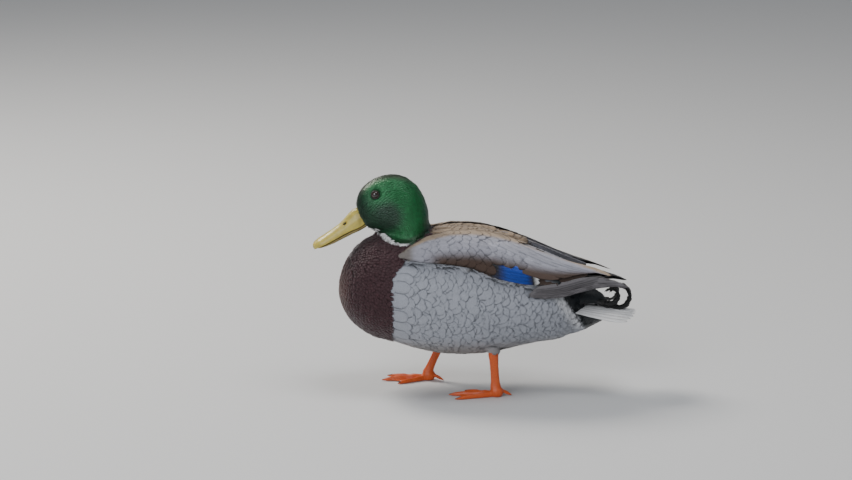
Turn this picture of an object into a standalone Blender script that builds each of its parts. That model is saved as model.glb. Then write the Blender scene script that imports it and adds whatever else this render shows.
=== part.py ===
"""A life-size standing mallard drake, as a still model in separate named pieces.

The bird faces -X, its left side is -Y and +Z is up. The origin is on the floor, under the
middle of its length. Lengths in the tables are in millimetres; MM turns them into metres.
"""

from math import cos, pi, radians, sin

import bmesh
import bpy
from mathutils import Vector

MM = 0.001

# Driving dimensions, in millimetres.
GAP = 0.4                    # clearance between neighbouring pieces
TRUNK_SIDES = 24
HEAD_SIDES = 18
NECK_CUT = 0.60              # share of the head and neck loft at which they are parted
BREAST_CUT = 0.362           # share of the trunk loft at which the breast is parted from it
BILL_BASE = (-131.0, 194.4)  # x and z of the middle of the bill's root
BILL_DROOP = radians(31.5)   # how far the bill points below the horizontal
BILL_LENGTH = 60.4
EYE = (-112.6, 15.2, 225.6)  # centre of the right eyeball
EYE_RADIUS = 5.2
FOOT_SPREAD = 38.0           # each foot's distance from the middle plane
TARSUS_TOP = 52.0            # height of the ankle joint, where the feathers end
ANKLE_HEIGHT = 9.5           # top of the knob on which the toes meet

# Each leg as (x of the toes' knob, x of the ankle joint, inward turn of the foot).
LEGS = {
    "left": (22.0, 19.0, radians(4)),
    "right": (-54.0, -34.5, radians(6)),
}
SIDE = {"left": -1, "right": 1}

# Trunk: x, lowest z, highest z, half width, z of the widest point.
TRUNK = (
    (-155.0, 110, 121, 5, 115.5),
    (-154.0, 104, 127.5, 14, 115),
    (-151.0, 95, 138.5, 26, 114),
    (-146.5, 86.5, 149, 36, 113),
    (-141.0, 79, 158, 44, 112),
    (-130.0, 69.5, 169.5, 53.5, 111),
    (-115.0, 60.5, 178, 60, 110),
    (-97.0, 56, 182, 64, 109),
    (-75.0, 49.5, 184.5, 67, 108),
    (-50.0, 43, 187, 69, 107.5),
    (-25.0, 40.5, 188.5, 70, 107),
    (2.0, 41, 187, 70, 106),
    (27.0, 45, 180, 68, 105),
    (50.0, 50.5, 170.5, 63.5, 103),
    (72.0, 55, 158, 56, 101),
    (90.0, 56.5, 145, 46.5, 98),
    (103.0, 60.5, 133, 36, 95.5),
    (112.0, 68, 121, 25, 93),
    (118.0, 77, 110, 14.5, 92),
    (121.0, 86, 99, 5, 92),
)

# Tail coverts above the tail: x, z of the flat underside, z of the top, half width.
RUMP = (
    (84.0, 106, 132, 30),
    (100.0, 103.5, 127.5, 28),
    (116.0, 101, 121.5, 24),
    (130.0, 99, 117.5, 18.5),
    (140.0, 97.5, 113.0, 13),
    (147.0, 96.5, 105.5, 7.5),
    (151.0, 96, 99, 3.5),
)

# Tail coverts below the tail: x, z of the flat top, lowest z, half width.
UNDERTAIL = (
    (84.0, 98, 66, 32),
    (98.0, 96, 62.5, 31),
    (112.0, 94, 62.0, 28),
    (126.0, 92, 68.5, 21.5),
    (140.0, 90, 75.5, 13.5),
    (149.0, 88.5, 81, 7),
    (153.0, 87.5, 85, 3),
)

# Head and neck, from inside the bill to inside the trunk: x and z of the top,
# x and z of the bottom, half width, share of the height at which it is widest.
HEAD_AND_NECK = (
    (-134.5, 205.0, -127.0, 187.5, 7.5, 0.45),
    (-135.0, 212.5, -124.5, 184.5, 12.0, 0.43),
    (-131.5, 225.3, -120.0, 182.8, 16.0, 0.40),
    (-123.5, 235.3, -114.5, 181.8, 19.0, 0.38),
    (-110.0, 243.4, -108.5, 180.5, 21.5, 0.38),
    (-93.0, 246.6, -102.0, 178.0, 22.8, 0.40),
    (-77.0, 243.0, -96.5, 174.0, 23.6, 0.42),
    (-63.5, 231.3, -92.0, 168.5, 24.6, 0.45),
    (-54.8, 213.0, -89.0, 161.5, 25.8, 0.48),
    (-51.5, 194.0, -88.0, 153.5, 27.0, 0.50),
    (-55.0, 174.0, -90.0, 145.0, 26.5, 0.50),
)

# Folded wing with its scapulars and tertials: x, then y and z of the upper edge,
# y and z of the lower edge, outward bulge, thickness.
WING = (
    (-82.0, 45.5, 166.5, 49, 160.5, 0.3, 2.0),
    (-73.0, 38.5, 172.0, 54, 159.0, 3.0, 7.0),
    (-55.0, 27, 180.0, 59.5, 157.0, 7.0, 10.0),
    (-29.0, 20, 186.0, 62.5, 155.5, 9.0, 11.0),
    (-6.0, 17.5, 186.5, 64, 152.0, 9.5, 11.0),
    (10.0, 16, 185.0, 65, 145.5, 10.0, 11.0),
    (27.0, 14, 181.5, 65, 139.0, 10.0, 11.0),
    (49.0, 12, 174.5, 62, 134.0, 9.5, 11.0),
    (72.0, 10.5, 165.5, 54, 129.5, 8.0, 10.0),
    (94.0, 10, 156.0, 43.5, 129.0, 5.5, 9.0),
    (116.0, 10.5, 147.0, 31.5, 132.5, 3.0, 6.5),
    (135.0, 13, 139.5, 21, 135.6, 1.0, 3.5),
    (148.0, 14.5, 133.6, 18.8, 131.6, 0.4, 2.0),
    (156.0, 16, 130.2, 17.6, 129.5, 0.1, 1.3),
)

# Folded primaries below the tertials, same columns.
PRIMARIES = (
    (56.0, 56.0, 128.5, 59.0, 118.5, 0.5, 3.0),
    (73.0, 51.0, 129.5, 55.0, 114.8, 1.5, 6.0),
    (94.0, 41.0, 130.5, 46.5, 114.4, 1.5, 6.0),
    (116.0, 29.0, 133.5, 36.0, 118.6, 1.5, 5.0),
    (139.0, 16.0, 134.3, 24.0, 121.3, 1.2, 4.0),
    (156.0, 16.5, 129.0, 21.5, 121.6, 0.8, 2.6),
    (167.0, 18.0, 123.8, 20.3, 120.2, 0.3, 1.6),
    (172.0, 19.2, 121.0, 19.9, 119.6, 0.1, 1.2),
)

# Upper half of the bill: distance from the root, height of the culmen above the bill's
# axis, height of the cutting edge, half width.
BILL_UPPER = (
    (-9.0, 10.0, -5.5, 7.5),
    (-3.0, 13.2, -7.2, 9.8),
    (3.0, 12.9, -7.4, 10.4),
    (11.0, 10.3, -6.2, 9.9),
    (21.0, 7.3, -5.2, 9.7),
    (34.0, 6.1, -4.8, 10.5),
    (46.0, 5.6, -4.0, 11.8),
    (54.0, 5.2, -3.2, 10.6),
    (58.8, 3.2, -3.0, 6.6),
    (BILL_LENGTH, 0.8, -2.8, 3.2),
)

# Lower half: distance from the root, height of its underside, half width.
BILL_LOWER = (
    (-9.0, -10.0, 6.0),
    (0.0, -11.6, 9.0),
    (11.0, -10.4, 8.9),
    (26.0, -9.3, 8.9),
    (40.0, -8.0, 9.8),
    (50.0, -5.8, 9.2),
    (56.0, -4.4, 4.8),
)

# Tail: the fan of stiff feathers.
TAIL_ROOT = (30.0, 109.8)    # x and z of the point from which the feathers spread
TAIL_START = 0.48            # share of their length at which the solid fan begins
TAIL_LENGTH = 153.4
TAIL_HALF_SPREAD = radians(15.5)
TAIL_FEATHERS = 9
TAIL_SLOPE = radians(8)      # how far the fan points below the horizontal
TAIL_DROOP = 5.8             # how much lower its sides are than its middle

# Curled tail feathers: x and z of the curl's centre, radius, distance from the middle
# plane, degrees that the curl turns through, length of the straight part before it.
CURLS = {
    "outer": (160.5, 107.0, 13.0, 3.8, 250, 24),
    "inner": (151.0, 109.5, 9.0, 11.0, 225, 20),
}
CURL_WIDTH, CURL_THICKNESS = 6.6, 1.2

TOES = (                     # angle outwards from the middle toe, length, thickness
    ("inner", radians(-27), 41.0, 5.0),
    ("middle", 0.0, 53.0, 5.8),
    ("outer", radians(24), 49.0, 5.2),
)
WEB_THICKNESS = 1.3
SOLE_CUT = 1.0               # how far the toes and knob reach below the floor before they are cut flat


def spline(rows, share):
    """The row of numbers at that share of a smooth curve through all rows (Catmull-Rom)."""
    spot = share * (len(rows) - 1)
    first = min(int(spot), len(rows) - 2)
    t = spot - first
    before, start, end, after = (
        rows[max(0, min(len(rows) - 1, first + step))] for step in (-1, 0, 1, 2)
    )
    return [
        0.5 * (2 * b + (c - a) * t + (2 * a - 5 * b + 4 * c - d) * t**2 + (3 * b - a - 3 * c + d) * t**3)
        for a, b, c, d in zip(before, start, end, after)
    ]


def power(value, exponent):
    """A signed power, for superellipses."""
    return (1 if value >= 0 else -1) * abs(value) ** exponent


def egg(sides, half_width, below, above, square_below=2.0, square_above=2.0):
    """A ring of (across, up) points: an egg whose widest line is at up = 0."""
    points = []
    for k in range(sides):
        angle = 2 * pi * k / sides
        square = square_above if sin(angle) >= 0 else square_below
        across = half_width * power(cos(angle), 2 / square)
        up = power(sin(angle), 2 / square) * (above if sin(angle) >= 0 else below)
        points.append((across, up))
    return points


def material(name, colour, roughness, metallic=0.0):
    """A Principled material of that linear colour."""
    made = bpy.data.materials.get(name)
    if made is None:
        made = bpy.data.materials.new(name)
        made.use_nodes = True
        made.diffuse_color = (*colour, 1.0)
        shader = made.node_tree.nodes["Principled BSDF"]
        shader.inputs["Base Color"].default_value = (*colour, 1.0)
        shader.inputs["Roughness"].default_value = roughness
        shader.inputs["Metallic"].default_value = metallic
    return made


def skin_rings(name, rings, finish, ends="pointed"):
    """A closed object over rings of points in millimetres.

    Its ends are fanned from their middle ("pointed"), one flat face each ("flat"), or,
    where a ring is an upper edge and then the lower edge backwards, a strip ("blade").
    """
    shape = bmesh.new()
    loops = [[shape.verts.new(Vector(p) * MM) for p in ring] for ring in rings]
    sides = len(loops[0])
    for near, far in zip(loops, loops[1:]):
        for k in range(sides):
            after = (k + 1) % sides
            shape.faces.new((near[k], near[after], far[after], far[k]))
    for loop in (loops[0], loops[-1]):
        if ends == "flat":
            shape.faces.new(loop)
        elif ends == "blade":
            for k in range(sides // 2 - 1):
                shape.faces.new((loop[k], loop[k + 1], loop[-2 - k], loop[-1 - k]))
        else:
            middle = shape.verts.new(sum((v.co for v in loop), Vector()) / sides)
            for k in range(sides):
                shape.faces.new((loop[k], loop[(k + 1) % sides], middle))
    bmesh.ops.recalc_face_normals(shape, faces=shape.faces)
    mesh = bpy.data.meshes.new(name)
    shape.to_mesh(mesh)
    shape.free()
    mesh.shade_smooth()
    mesh.set_sharp_from_angle(angle=radians(40))
    mesh.materials.append(finish)
    made = bpy.data.objects.new(name, mesh)
    bpy.context.scene.collection.objects.link(made)
    return made


def as_helper(obj):
    """Marks an object as a cutter or other helper, which isn't a piece."""
    obj.hide_render = True
    obj.display_type = "WIRE"
    return obj


def combine(target, helper, operation):
    """Adds a Boolean with the helper to the target."""
    boolean = target.modifiers.new(operation.lower() + "_" + helper.name, "BOOLEAN")
    boolean.operation = operation
    boolean.solver = "EXACT"
    boolean.object = helper


def make_room(target, *others, room=GAP):
    """Cuts each other piece out of the target, with a clearance all round it."""
    for other in others:
        cutter = bpy.data.objects.new("room_for_" + other.name, other.data)
        bpy.context.scene.collection.objects.link(cutter)
        cutter.matrix_world = other.matrix_world
        swell = cutter.modifiers.new("clearance", "DISPLACE")
        swell.mid_level = 0
        swell.strength = room * MM
        combine(target, as_helper(cutter), "DIFFERENCE")


# ---------------------------------------------------------------- trunk

def trunk_ring(share):
    """One upright ring of the trunk."""
    x, low, high, half_width, widest = spline(TRUNK, share)
    ring = egg(TRUNK_SIDES, half_width, widest - low, high - widest, 2.15, 1.9)
    return [(x, across, widest + up) for across, up in ring]


def build_trunk():
    """The feathered body, with the breast parted from it by a thin cut."""
    slit = 0.001
    front = BREAST_CUT - slit
    back = BREAST_CUT + slit
    breast = skin_rings(
        "breast", [trunk_ring(front * k / 9) for k in range(10)],
        material("breast_chestnut", (0.10, 0.035, 0.022), 0.7),
    )
    trunk = skin_rings(
        "trunk", [trunk_ring(back + (1 - back) * k / 14) for k in range(15)],
        material("flank_grey", (0.42, 0.42, 0.43), 0.75),
    )
    return breast, trunk


def build_coverts(name, rows):
    """Feathers that cover the tail's root from above or below, flat on the side towards it."""
    rings = []
    for k in range(8):
        x, flat, far, half_width = spline(rows, k / 7)
        thin = min(0.8, abs(far - flat) / 3)
        above = far - flat if far > flat else thin
        below = thin if far > flat else flat - far
        ring = egg(16, half_width, below, above)
        rings.append([(x, across, flat + up) for across, up in ring])
    return skin_rings(name, rings, material("rump_black", (0.012, 0.014, 0.016), 0.4))


# ---------------------------------------------------------------- head and neck

def head_ring(share):
    """One ring of the head and neck, in the plane from its top to its bottom."""
    top_x, top_z, low_x, low_z, half_width, widest = spline(HEAD_AND_NECK, share)
    top = Vector((top_x, 0, top_z))
    low = Vector((low_x, 0, low_z))
    middle = low.lerp(top, widest)
    upward = (top - low).normalized()
    ring = egg(HEAD_SIDES, half_width, (middle - low).length, (top - middle).length, 2.2, 2.05)
    return [middle + Vector((0, across, 0)) + upward * up for across, up in ring]


def build_head_and_neck():
    """The head and the drawn-in neck, parted by a thin cut behind the cheeks."""
    green = material("head_green", (0.012, 0.09, 0.035), 0.35)
    slit = 0.004
    head_shares = [(NECK_CUT - slit) * k / 11 for k in range(12)]
    neck_shares = [NECK_CUT + slit + (1 - NECK_CUT - slit) * k / 5 for k in range(6)]
    head = skin_rings("head", [head_ring(s) for s in head_shares], green)
    neck = skin_rings("neck", [head_ring(s) for s in neck_shares], green)
    return head, neck


def build_eye(side):
    """An eyeball, a little flatter than a sphere where it shows."""
    x, y, z = EYE
    rings = []
    for k in range(1, 6):
        around = pi * k / 6
        radius = EYE_RADIUS * sin(around)
        depth = EYE_RADIUS * cos(around) * 0.9
        ring = [
            (x + radius * cos(2 * pi * s / 12), (y + depth) * SIDE[side], z + radius * sin(2 * pi * s / 12))
            for s in range(12)
        ]
        rings.append(ring)
    return skin_rings("eye_" + side, rings, material("eye_brown", (0.02, 0.01, 0.006), 0.08))


# ---------------------------------------------------------------- bill

def on_bill(along, across, up):
    """A point given along the bill from its root, across it and above its axis."""
    x, z = BILL_BASE
    return (
        x - along * cos(BILL_DROOP) - up * sin(BILL_DROOP),
        across,
        z - along * sin(BILL_DROOP) + up * cos(BILL_DROOP),
    )


def build_bill():
    """The broad, flat bill: an arched upper half over a shallow lower one, with nostrils."""
    yellow = material("bill_yellow", (0.62, 0.52, 0.07), 0.4)
    rings = []
    for k in range(12):
        along, culmen, edge, half_width = spline(BILL_UPPER, k / 11)
        lip = 1.2
        ring = egg(16, half_width, lip, culmen - edge - lip, 5.0, 2.15)
        rings.append([on_bill(along, across, edge + lip + up) for across, up in ring])
    upper = skin_rings("bill_upper", rings, yellow)

    rings = []
    for k in range(9):
        along, low, half_width = spline(BILL_LOWER, k / 8)
        edge = edge_height(along) - GAP
        depth = max(0.8, edge - low)
        rim = min(1.0, depth / 2)
        ring = egg(12, half_width, depth - rim, rim, 2.4, 5.0)
        rings.append([on_bill(along, across, edge - rim + up) for across, up in ring])
    lower = skin_rings("bill_lower", rings, yellow)

    for side in SIDE:
        rings = []
        for k in range(1, 5):
            around = pi * k / 5
            ring = egg(8, 1.5 * sin(around), 1.5 * sin(around), 1.5 * sin(around))
            rings.append([
                on_bill(15.5 + 3.6 * cos(around), SIDE[side] * 6.2 + across, 5.0 + up) for across, up in ring
            ])
        combine(upper, as_helper(skin_rings("nostril_" + side, rings, yellow)), "DIFFERENCE")
    return upper, lower


def edge_height(along):
    """Height of the upper half's cutting edge at that distance from the root."""
    for here, there in zip(BILL_UPPER, BILL_UPPER[1:]):
        if along <= there[0]:
            share = (along - here[0]) / (there[0] - here[0])
            return here[2] + (there[2] - here[2]) * share
    return BILL_UPPER[-1][2]


# ---------------------------------------------------------------- wings

def build_blade(name, rows, side, stations, finish):
    """A curved plate lying along the body: the folded arm or the folded primaries."""
    across = 6
    rings = []
    for k in range(stations):
        x, y_up, z_up, y_low, z_low, bulge, thickness = spline(rows, k / (stations - 1))
        upper, lower = Vector((y_up, z_up)), Vector((y_low, z_low))
        chord = lower - upper
        outward = Vector((-chord.y, chord.x)).normalized()
        outer, inner = [], []
        for s in range(across):
            share = s / (across - 1)
            arch = sin(pi * share) ** 0.8 if 0 < s < across - 1 else 0.0
            middle = upper + chord * share + outward * bulge * arch
            half = outward * thickness * (0.12 + 0.88 * arch)
            outer.append(middle)
            inner.append(middle - half)
        ring = outer + inner[::-1]
        rings.append([(x, SIDE[side] * p.x, p.y) for p in ring])
    return skin_rings(f"{name}_{side}", rings, finish)


def build_wings(side):
    """The folded wing of one side, and below it the bundle of primaries."""
    arm = build_blade("wing", WING, side, 15, material("wing_grey", (0.30, 0.27, 0.25), 0.7))
    quills = build_blade("primaries", PRIMARIES, side, 8, material("quill_brown", (0.18, 0.15, 0.13), 0.6))
    make_room(quills, arm)
    return arm, quills


# ---------------------------------------------------------------- tail

def build_tail():
    """The fan of tail feathers, notched between their rounded tips."""
    columns, rows = TAIL_FEATHERS * 3, 2
    root_x, root_z = TAIL_ROOT
    rings = []
    for r in range(rows + 1):
        reach = TAIL_START + (1 - TAIL_START) * r / rows
        top, bottom = [], []
        for c in range(columns + 1):
            spread = 2 * c / columns - 1
            angle = spread * TAIL_HALF_SPREAD
            rounded = 1 - 0.12 * spread**2
            notch = 0.02 * (1 - abs(sin(pi * TAIL_FEATHERS * c / columns)))
            along = TAIL_LENGTH * reach * (rounded - notch if r == rows else rounded)
            drop = along * sin(TAIL_SLOPE) + TAIL_DROOP * spread**2 * reach
            x = root_x + along * cos(angle)
            y = along * sin(angle)
            half = 1.8 - 1.35 * reach
            top.append((x, y, root_z - drop + half))
            bottom.append((x, y, root_z - drop - half))
        rings.append(top + bottom[::-1])
    return skin_rings("tail", rings, material("tail_white", (0.55, 0.54, 0.52), 0.6), ends="blade")


def build_curl(name, side):
    """One of the drake's black curled feathers: along the tail, then up and forwards in a ring."""
    x, z, radius, offset, turn, run = CURLS[name]
    steps = 14
    rings = []
    for k in range(steps):
        share = k / (steps - 1)
        if share < 0.2:
            back = 1 - share / 0.2
            px, pz, angle = x - run * back, z - radius + run * back * 0.2, -pi / 2
        else:
            angle = -pi / 2 + radians(turn) * (share - 0.2) / 0.8
            reach = radius * (1 - 0.18 * (share - 0.2) / 0.8)
            px, pz = x + reach * cos(angle), z + reach * sin(angle)
        out = Vector((cos(angle), 0, sin(angle)))
        lean = radians(18) * SIDE[side]
        wide = (Vector((0, 1, 0)) * cos(lean) + out * sin(lean)) * CURL_WIDTH / 2 * (1 - 0.55 * share**3)
        thick = out * CURL_THICKNESS / 2
        middle = Vector((px, SIDE[side] * offset, pz))
        under, over = middle - thick, middle + thick
        rings.append([under - wide, under + wide, over + wide, over - wide])
    return skin_rings(f"curl_{name}_{side}", rings, material("rump_black", (0.012, 0.014, 0.016), 0.4))


# ---------------------------------------------------------------- legs

def build_thigh(side):
    """The feathered upper leg, which the ankle joint leaves below the belly."""
    _, joint_x, _ = LEGS[side]
    y = SIDE[side] * (FOOT_SPREAD - 1.5)
    stations = (                 # height, shift towards the front, half length, half width
        (46.8, 0.0, 6.3, 5.4),
        (49.5, 0.5, 9.0, 7.4),
        (56.0, 2.5, 12.5, 8.6),
        (64.0, 6.0, 14.0, 9.0),
        (74.0, 8.0, 11.0, 7.0),
    )
    rings = []
    for k in range(7):
        z, forward, half_length, half_width = spline(stations, k / 6)
        ring = egg(12, half_length, half_width, half_width)
        rings.append([(joint_x - forward + a, y + b, z) for a, b in ring])
    return skin_rings("thigh_" + side, rings, material("belly_grey", (0.38, 0.38, 0.38), 0.8))


def build_tarsus(side):
    """The bare shank: a knobbly ankle joint above a slim shaft."""
    knob_x, joint_x, _ = LEGS[side]
    y = SIDE[side] * FOOT_SPREAD
    stations = (                 # height, half length fore and aft, half width
        (ANKLE_HEIGHT + 0.5, 6.4, 5.4),
        (ANKLE_HEIGHT + 4.0, 5.6, 4.2),
        (20.0, 5.0, 3.4),
        (32.0, 4.9, 3.2),
        (43.0, 5.4, 3.8),
        (49.0, 6.0, 4.6),
        (54.0, 5.2, 4.2),
        (58.0, 3.8, 3.2),
    )
    rings = []
    for k in range(10):
        z, half_length, half_width = spline(stations, k / 9)
        share = (z - ANKLE_HEIGHT) / (TARSUS_TOP - ANKLE_HEIGHT)
        x = knob_x + (joint_x - knob_x) * share
        ring = egg(10, half_length, half_width, half_width, 2.3, 2.3)
        rings.append([(x + a, y + b, z) for a, b in ring])
    return skin_rings("tarsus_" + side, rings, material("leg_orange", (0.72, 0.10, 0.02), 0.45))


def build_hind_toe(side):
    """The small raised toe behind the knob, which is joined to the foot."""
    knob_x, _, _ = LEGS[side]
    rings = []
    for k in range(7):
        share = k / 6
        half = 2.3 * (1 - 0.15 * share) * (1 - 0.6 * max(0.0, (share - 0.7) / 0.3))
        x = knob_x + 4.0 + 14.0 * share
        y = SIDE[side] * (FOOT_SPREAD - 1.5 - 2.5 * share)
        z = 7.0 - 6.4 * share**1.2
        ring = egg(8, half, half, half)
        rings.append([(x, y + a, z + b) for a, b in ring])
    return as_helper(skin_rings("hind_toe_" + side, rings, material("leg_orange", (0.72, 0.10, 0.02), 0.45)))


def build_foot(side):
    """Three toes with their claws, the web between them and the knob that they grow from."""
    knob_x, _, turn = LEGS[side]
    outwards = SIDE[side]
    orange = material("leg_orange", (0.72, 0.10, 0.02), 0.45)

    def turned(along, across, z):
        """A point ahead of the knob and outwards of it, on the turned foot."""
        ahead = along * cos(turn) + across * sin(turn)
        out = across * cos(turn) - along * sin(turn)
        return Vector((knob_x - ahead, outwards * (FOOT_SPREAD + out), z))

    knob = []
    for k in range(6):
        share = k / 5
        swell = sin(pi * (0.12 + 0.62 * share)) ** 0.5
        ring = egg(12, 7.6 * swell, 6.6 * swell, 6.6 * swell, 2.3, 2.3)
        knob.append([turned(a - 1.0, b, -SOLE_CUT + (ANKLE_HEIGHT + SOLE_CUT) * share) for a, b in ring])
    foot = skin_rings("foot_" + side, knob, orange)

    for name, angle, length, thickness in TOES:
        rings = []
        for k in range(9):
            share = k / 8
            claw = max(0.0, (share - 0.86) / 0.14)
            pads = 1 + 0.10 * cos(6 * pi * share)
            half = thickness / 2 * (1.05 - 0.30 * share) * pads * (1 - 0.82 * claw)
            along = length * share - thickness / 2 * (1 - share)
            height = 2 * half * (0.98 + 0.35 * (1 - share))
            middle = 0.33 * height + 0.7 * claw
            ring = egg(8, half, 0.5 * height, 0.62 * height, 2.6, 2.0)
            rings.append([
                turned(along * cos(angle) - a * sin(angle), along * sin(angle) + a * cos(angle), middle + b)
                for a, b in ring
            ])
        combine(foot, as_helper(skin_rings(f"toe_{name}_{side}", rings, orange)), "UNION")

    for (name, start, start_length, _), (_, end, end_length, _) in zip(TOES, TOES[1:]):
        outline = []
        for s in range(7):
            share = s / 6
            angle = start + (end - start) * share
            reach = (start_length + (end_length - start_length) * share) * 0.84
            reach *= 1 - 0.16 * sin(pi * share)
            outline.append((reach * cos(angle), reach * sin(angle)))
        outline.append((2.0 * cos((start + end) / 2), 2.0 * sin((start + end) / 2)))
        low = 0.35 if name == "inner" else 0.41
        rings = [[turned(a, b, z) for a, b in outline] for z in (low, low + WEB_THICKNESS)]
        combine(foot, as_helper(skin_rings(f"web_{name}_{side}", rings, orange, "flat")), "UNION")

    combine(foot, build_hind_toe(side), "UNION")
    ground = [
        [turned(a, b, z) for a, b in ((-30, -40), (80, -40), (80, 40), (-30, 40))]
        for z in (-9.0, 0.0)
    ]
    combine(foot, as_helper(skin_rings("ground_" + side, ground, orange, "flat")), "DIFFERENCE")
    return foot


def main():
    for obj in list(bpy.data.objects):
        bpy.data.objects.remove(obj)
    head, neck = build_head_and_neck()
    upper, lower = build_bill()
    eyes = [build_eye(side) for side in SIDE]
    make_room(head, *eyes)
    make_room(head, upper, lower)
    breast, trunk = build_trunk()
    rump = build_coverts("rump", RUMP)
    undertail = build_coverts("undertail", UNDERTAIL)
    tail = build_tail()
    curls = [build_curl(name, side) for name in CURLS for side in SIDE]
    make_room(breast, neck, head)
    make_room(trunk, neck, head, tail, rump, undertail)
    make_room(rump, tail, *curls)
    make_room(undertail, tail)
    for side in SIDE:
        arm, quills = build_wings(side)
        make_room(trunk, arm, quills, room=0.9)
        make_room(rump, arm, quills, room=0.9)
        thigh = build_thigh(side)
        make_room(trunk, thigh)
        tarsus = build_tarsus(side)
        make_room(thigh, tarsus)
        build_foot(side)


main()
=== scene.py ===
from math import cos, pi, radians, sin

import bpy
import numpy as np
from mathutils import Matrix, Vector
from mathutils.bvhtree import BVHTree


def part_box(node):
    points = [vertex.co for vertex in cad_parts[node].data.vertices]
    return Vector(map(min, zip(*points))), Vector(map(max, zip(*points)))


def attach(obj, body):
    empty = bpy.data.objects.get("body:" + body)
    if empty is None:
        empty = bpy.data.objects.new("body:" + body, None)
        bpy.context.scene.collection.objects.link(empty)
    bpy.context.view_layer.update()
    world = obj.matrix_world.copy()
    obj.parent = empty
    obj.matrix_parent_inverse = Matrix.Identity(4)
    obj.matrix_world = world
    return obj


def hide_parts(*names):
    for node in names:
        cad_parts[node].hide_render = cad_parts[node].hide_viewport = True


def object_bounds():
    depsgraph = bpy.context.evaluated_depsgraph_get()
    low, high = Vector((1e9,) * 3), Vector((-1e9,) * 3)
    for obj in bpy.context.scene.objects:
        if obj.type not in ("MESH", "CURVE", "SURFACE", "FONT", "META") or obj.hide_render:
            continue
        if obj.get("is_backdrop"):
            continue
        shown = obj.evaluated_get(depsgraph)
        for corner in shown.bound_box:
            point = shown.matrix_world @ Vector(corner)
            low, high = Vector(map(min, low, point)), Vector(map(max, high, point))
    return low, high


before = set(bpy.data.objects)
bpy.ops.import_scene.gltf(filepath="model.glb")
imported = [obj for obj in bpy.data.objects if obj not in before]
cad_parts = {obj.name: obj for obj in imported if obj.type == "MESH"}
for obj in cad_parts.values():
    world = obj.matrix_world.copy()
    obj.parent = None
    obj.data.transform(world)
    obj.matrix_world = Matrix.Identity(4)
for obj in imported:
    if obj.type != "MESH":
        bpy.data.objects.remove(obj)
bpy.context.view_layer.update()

# ------------------------------------------------------------------ room
# A plain pale floor under the bird, soft studio light and the camera.
# The camera stands well back at the bird's left side, a little above it.
LOOK_AT = Vector((-0.056, 0.0, 0.1706))
LOOK_DOWN = radians(12)
CAMERA_DISTANCE = 4.0
VIEW_WIDTH = 0.954            # what the frame takes in at the bird

bpy.ops.object.select_all(action="DESELECT")
away = Vector((0, -cos(LOOK_DOWN), sin(LOOK_DOWN)))
camera_data = bpy.data.cameras.new("camera")
camera_data.sensor_width = 36
camera_data.lens = 36 * CAMERA_DISTANCE / VIEW_WIDTH
camera = bpy.data.objects.new("camera", camera_data)
bpy.context.scene.collection.objects.link(camera)
camera.location = LOOK_AT + away * CAMERA_DISTANCE
camera.rotation_euler = (-away).to_track_quat("-Z", "Y").to_euler()
bpy.context.scene.camera = camera

bpy.ops.mesh.primitive_plane_add(size=14, location=(0, 0, -0.0004))
floor = bpy.context.active_object
floor.name = "floor"
floor_paint = bpy.data.materials.new("floor_paint")
floor_paint.use_nodes = True
floor_shader = floor_paint.node_tree.nodes["Principled BSDF"]
floor_shader.inputs["Base Color"].default_value = (0.60, 0.60, 0.60, 1)
floor_shader.inputs["Roughness"].default_value = 0.65
floor.data.materials.append(floor_paint)
floor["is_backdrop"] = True


def soft_light(name, place, size, power, colour):
    """A square soft box that points at the bird."""
    data = bpy.data.lights.new(name, "AREA")
    data.size = size
    data.energy = power
    data.color = colour
    light = bpy.data.objects.new(name, data)
    bpy.context.scene.collection.objects.link(light)
    light.location = place
    light.rotation_euler = (Vector((0, 0, 0.12)) - Vector(place)).to_track_quat("-Z", "Y").to_euler()


soft_light("back_light", (-1.4, 1.1, 1.9), 0.9, 62, (1.0, 0.96, 0.90))
soft_light("fill_light", (-1.0, -2.3, 1.3), 1.5, 40, (0.96, 0.98, 1.0))
soft_light("top_light", (0.6, -0.4, 2.3), 1.2, 20, (0.98, 0.99, 1.0))
world = bpy.data.worlds.new("studio")
world.use_nodes = True
world.node_tree.nodes["Background"].inputs[0].default_value = (0.80, 0.84, 0.90, 1)
world.node_tree.nodes["Background"].inputs[1].default_value = 0.32
bpy.context.scene.world = world


# ------------------------------------------------------------------ skin
# The whole body under its feathers, as one closed skin from the face to the tail coverts.
# It is cast from the body's solids, run together and drawn inwards by the plumage's depth.
FLESH = (
    "head", "neck", "breast", "trunk", "rump", "undertail",
    "thigh_left", "thigh_right", "wing_left", "wing_right",
)
HEAD_DEPTH = 0.0011
BODY_DEPTH = 0.0027
WING_DEPTH = 0.0014
WING_SKIN_END = 0.124           # beyond this the wing is feathers alone
SIDES = {"left": -1, "right": 1}

GREEN = (0.003, 0.115, 0.030)
GREEN_BLACK = (0.003, 0.014, 0.010)
FOREHEAD_SHEEN = (0.050, 0.032, 0.030)
NAPE_BLUE = (0.004, 0.040, 0.048)
WHITE = (0.66, 0.66, 0.66)
CHESTNUT = (0.038, 0.014, 0.018)
# Painted highlight: the lighter, redder chestnut of the breast's front band stands for light falling on it.
CHESTNUT_LIT_RIM = (0.095, 0.032, 0.022)
OLIVE = (0.130, 0.110, 0.085)
FLANK = (0.330, 0.345, 0.390)
FLANK_LIGHT = (0.62, 0.63, 0.66)
BELLY = (0.270, 0.250, 0.245)
MANTLE = (0.230, 0.165, 0.110)
RUMP = (0.005, 0.008, 0.010)
WING_GREY = (0.290, 0.290, 0.335)
WING_BROWN = (0.055, 0.033, 0.024)
WING_EDGE = (0.300, 0.215, 0.135)
SPECULUM = (0.002, 0.040, 0.300)
WING_EDGES = np.array((
    (-82, 166.5, 160.5), (-73, 172, 159), (-55, 180, 157), (-29, 186, 155.5), (-6, 186.5, 152),
    (10, 185, 145.5), (27, 181.5, 139), (49, 174.5, 134), (72, 165.5, 129.5), (94, 156, 129),
    (116, 147, 132.5), (135, 139.5, 135.6), (156, 130.2, 129.5),
))


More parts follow.
